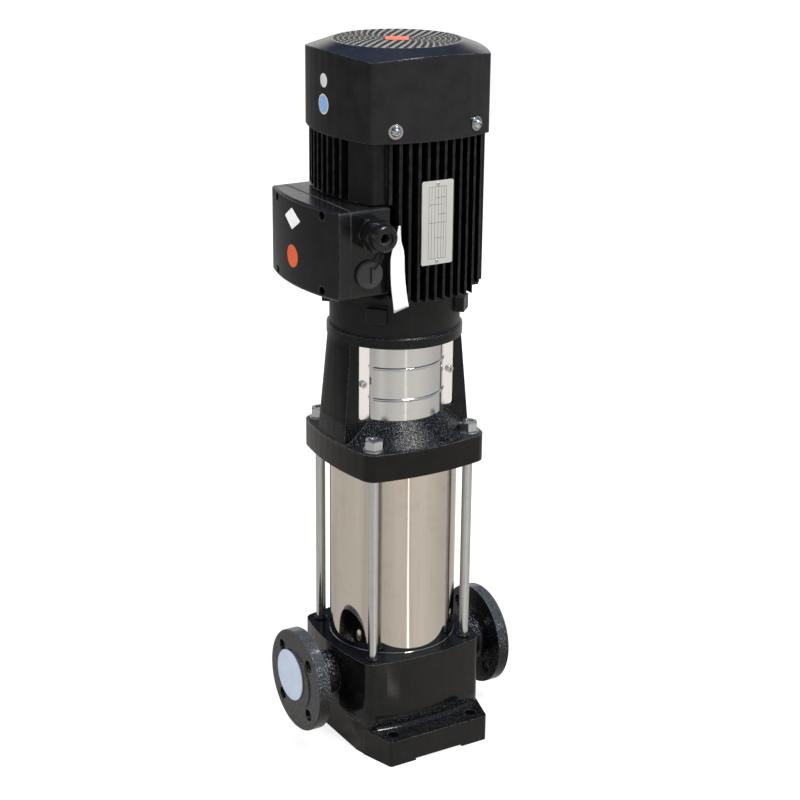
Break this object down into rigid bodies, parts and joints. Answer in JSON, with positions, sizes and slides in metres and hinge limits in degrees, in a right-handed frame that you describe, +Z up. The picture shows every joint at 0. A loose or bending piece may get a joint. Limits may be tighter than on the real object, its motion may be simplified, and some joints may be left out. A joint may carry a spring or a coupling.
{
  "type": "vertical multistage pump",
  "caption": "In-line vertical multistage pump with two side flanges on a cast foot, tie rods round a polished sleeve, a motor stool and a finned motor on top.",
  "frame": {"origin": "on the pump's vertical axis at floor level, the middle of the foot bolt pattern", "axes": "+Z up along the pump axis, +X towards the discharge flange, -Y towards the nameplate"},
  "size_m": [0.2512, 0.214, 0.775],
  "materials": {
    "black_casting": "gloss black paint over a cast surface",
    "motor_paint": "satin black paint",
    "box_paint": "satin black paint",
    "cover_paint": "satin charcoal paint",
    "polished_steel": "polished stainless steel",
    "guard_steel": "brushed stainless sheet",
    "stage_steel": "pressed stainless steel",
    "impeller_steel": "welded stainless steel",
    "zinc_steel": "bright zinc plate",
    "dark_steel": "black oxide",
    "shaft_steel": "ground steel",
    "coupling_iron": "bare machined iron",
    "core_steel": "stacked laminations",
    "bearing_steel": "polished bearing steel",
    "copper": "varnished copper wire",
    "seal_ceramic": "ceramic ring",
    "seal_carbon": "carbon ring in a steel holder",
    "rubber": "matt rubber",
    "black_plastic": "black nylon",
    "grey_plastic": "dark grey nylon",
    "brown_plastic": "moulded terminal board",
    "plate_aluminium": "satin aluminium",
    "white_tag": "white tag",
    "film_disc": "pale blue protective disc"
  },
  "bodies": {
    "pump": {"pump_base": "black_casting", "drain_plug": "zinc_steel", "sleeve_orings": "rubber", "outer_sleeve": "polished_steel", "tie_rods": "zinc_steel", "rod_nuts": "zinc_steel", "rod_washers": "zinc_steel", "motor_stool": "black_casting", "vent_plug": "zinc_steel", "seal_cover": "stage_steel", "seal_seat": "seal_ceramic", "inlet_stage": "stage_steel", "outlet_stage": "stage_steel", "diffuser_1": "stage_steel", "diffuser_2": "stage_steel", "diffuser_3": "stage_steel", "diffuser_4": "stage_steel", "diffuser_5": "stage_steel", "diffuser_6": "stage_steel", "guard_front": "guard_steel", "guard_rear": "guard_steel", "guard_screws": "zinc_steel", "lower_shield": "motor_paint", "flange_screws": "zinc_steel", "motor_frame": "motor_paint", "stator_core": "core_steel", "stator_winding": "copper", "bearing_lower": "bearing_steel", "bearing_upper": "bearing_steel", "upper_shield": "motor_paint", "fan_cover": "cover_paint", "cover_screws": "zinc_steel", "terminal_box": "box_paint", "box_lid": "box_paint", "lid_screws": "dark_steel", "terminal_block": "brown_plastic", "gland_body": "black_plastic", "gland_nut": "black_plastic", "gland_seal": "rubber", "blanking_plug": "grey_plastic", "nameplate": "plate_aluminium", "hang_tag": "white_tag"},
    "rotor": {"pump_shaft": "shaft_steel", "impeller_nut": "zinc_steel", "seal_head": "seal_carbon", "coupling_front": "coupling_iron", "coupling_rear": "coupling_iron", "coupling_screws": "dark_steel", "impeller_1": "impeller_steel", "impeller_2": "impeller_steel", "impeller_3": "impeller_steel", "impeller_4": "impeller_steel", "impeller_5": "impeller_steel", "impeller_6": "impeller_steel", "motor_shaft": "shaft_steel", "rotor_core": "core_steel", "cooling_fan": "black_plastic"},
    "suction_disc": {"port_cover": "film_disc"}
  },
  "joints": [
    {"name": "rotor_spin", "type": "hinge", "parent": "pump", "child": "rotor", "pos_m": [0, 0, 0.4], "axis": [0, 0, 1], "continuous": true},
    {"name": "disc_pull", "type": "slide", "parent": "pump", "child": "suction_disc", "axis": [-1, 0, 0], "range_m": [0, 0.04]}
  ]
}
